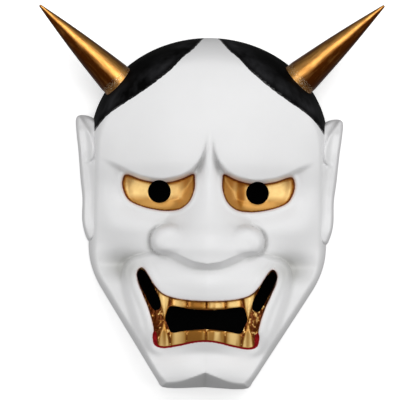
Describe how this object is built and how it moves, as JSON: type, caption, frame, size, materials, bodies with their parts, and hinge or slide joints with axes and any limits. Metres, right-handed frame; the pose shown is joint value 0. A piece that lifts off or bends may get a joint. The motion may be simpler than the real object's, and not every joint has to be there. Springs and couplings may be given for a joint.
{
  "type": "hannya mask",
  "caption": "Horned demon face mask: a hollow cast shell open at the back, with pierced eyes, a grinning open mouth with fangs, side ears and straight conical horns.",
  "frame": {"origin": "bottom centre of the bounding box: under the middle of the whole mask, in the plane of its back rim", "axes": "+Y towards the crown and the horns, +Z out of the face, +X to the right as one faces the mask"},
  "size_m": [0.2188, 0.247, 0.079],
  "materials": {
    "painted_shell": "satin white paint on cast resin; gloss black hair, bright gold eyes and teeth, a red line along the lower lip, matte black inside",
    "gilt_horn": "metallic gold-bronze paint on cast resin"
  },
  "bodies": {
    "root": {"mask_shell": "painted_shell", "horn_left": "gilt_horn", "horn_right": "gilt_horn"}
  },
  "joints": []
}
